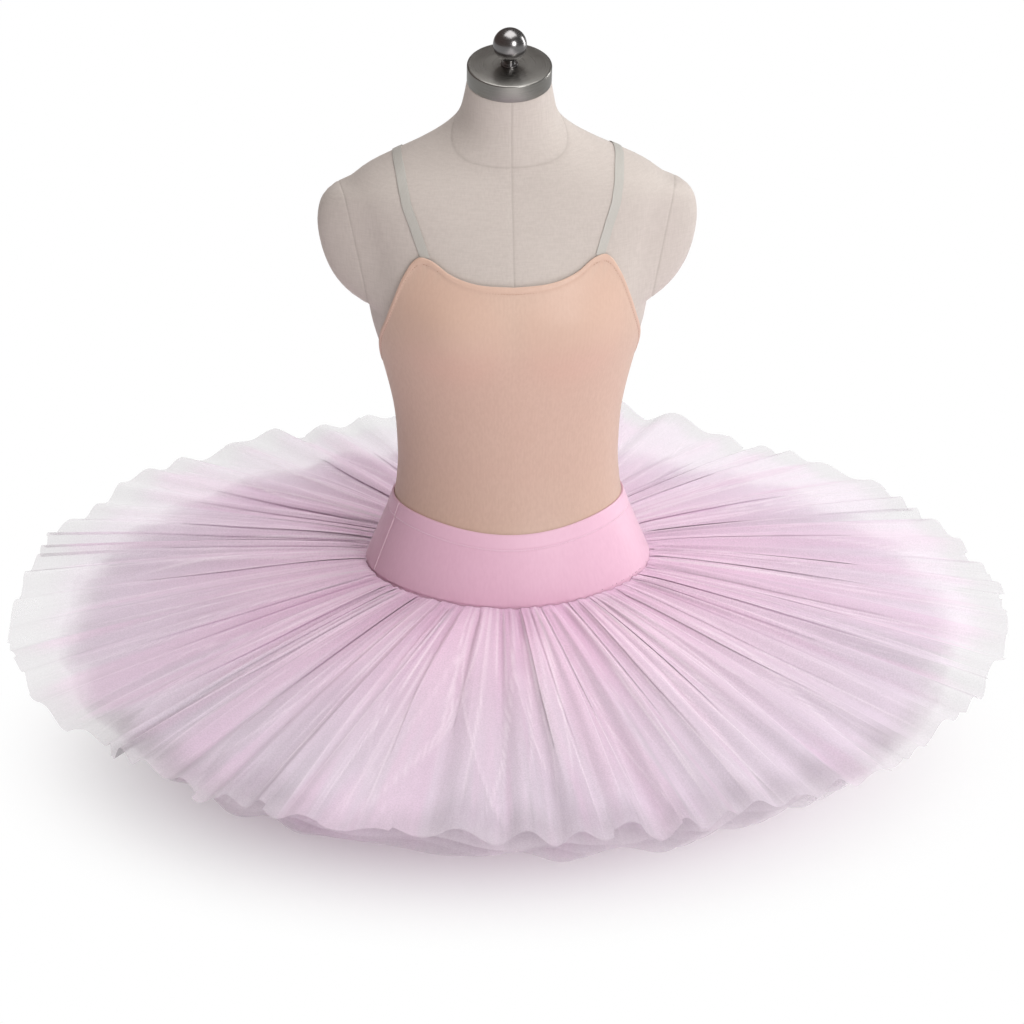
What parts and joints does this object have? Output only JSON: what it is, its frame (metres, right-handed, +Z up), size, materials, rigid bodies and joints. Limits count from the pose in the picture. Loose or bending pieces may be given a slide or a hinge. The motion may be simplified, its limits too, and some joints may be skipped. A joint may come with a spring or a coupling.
{
  "type": "ballet tutu on a dress form",
  "caption": "Flat pancake ballet tutu of gathered pink net with a stitched basque, nude camisole bodice and narrow straps, shown on a limbless linen dress form.",
  "frame": {"origin": "centre of the dress form's flat base, on the surface that it stands on", "axes": "+Z up, the garment's centre front faces -Y, +X is the side at the right of someone who faces that front"},
  "size_m": [1.0539, 1.0532, 0.7857],
  "materials": {
    "form_linen": "tight plain-weave linen in warm grey",
    "brushed_steel": "brushed cap with a polished ball",
    "nude_jersey": "fine heathered stretch jersey, matte",
    "satin_elastic": "narrow plush elastic, soft sheen",
    "pink_satin": "smooth stretch satin with a soft sheen",
    "pink_net": "stiff sheer tulle"
  },
  "bodies": {
    "root": {"form_torso": "form_linen", "form_neck": "form_linen", "form_shoulder_cap_left": "form_linen", "form_shoulder_cap_right": "form_linen", "neck_cap": "brushed_steel", "finial": "brushed_steel", "bodice_front": "nude_jersey", "bodice_back": "nude_jersey", "strap_left": "satin_elastic", "strap_right": "satin_elastic", "basque_front": "pink_satin", "basque_back": "pink_satin", "knickers": "pink_satin", "net_top": "pink_net", "net_second": "pink_net", "net_third": "pink_net", "net_fourth": "pink_net", "net_lowest": "pink_net"}
  },
  "joints": []
}
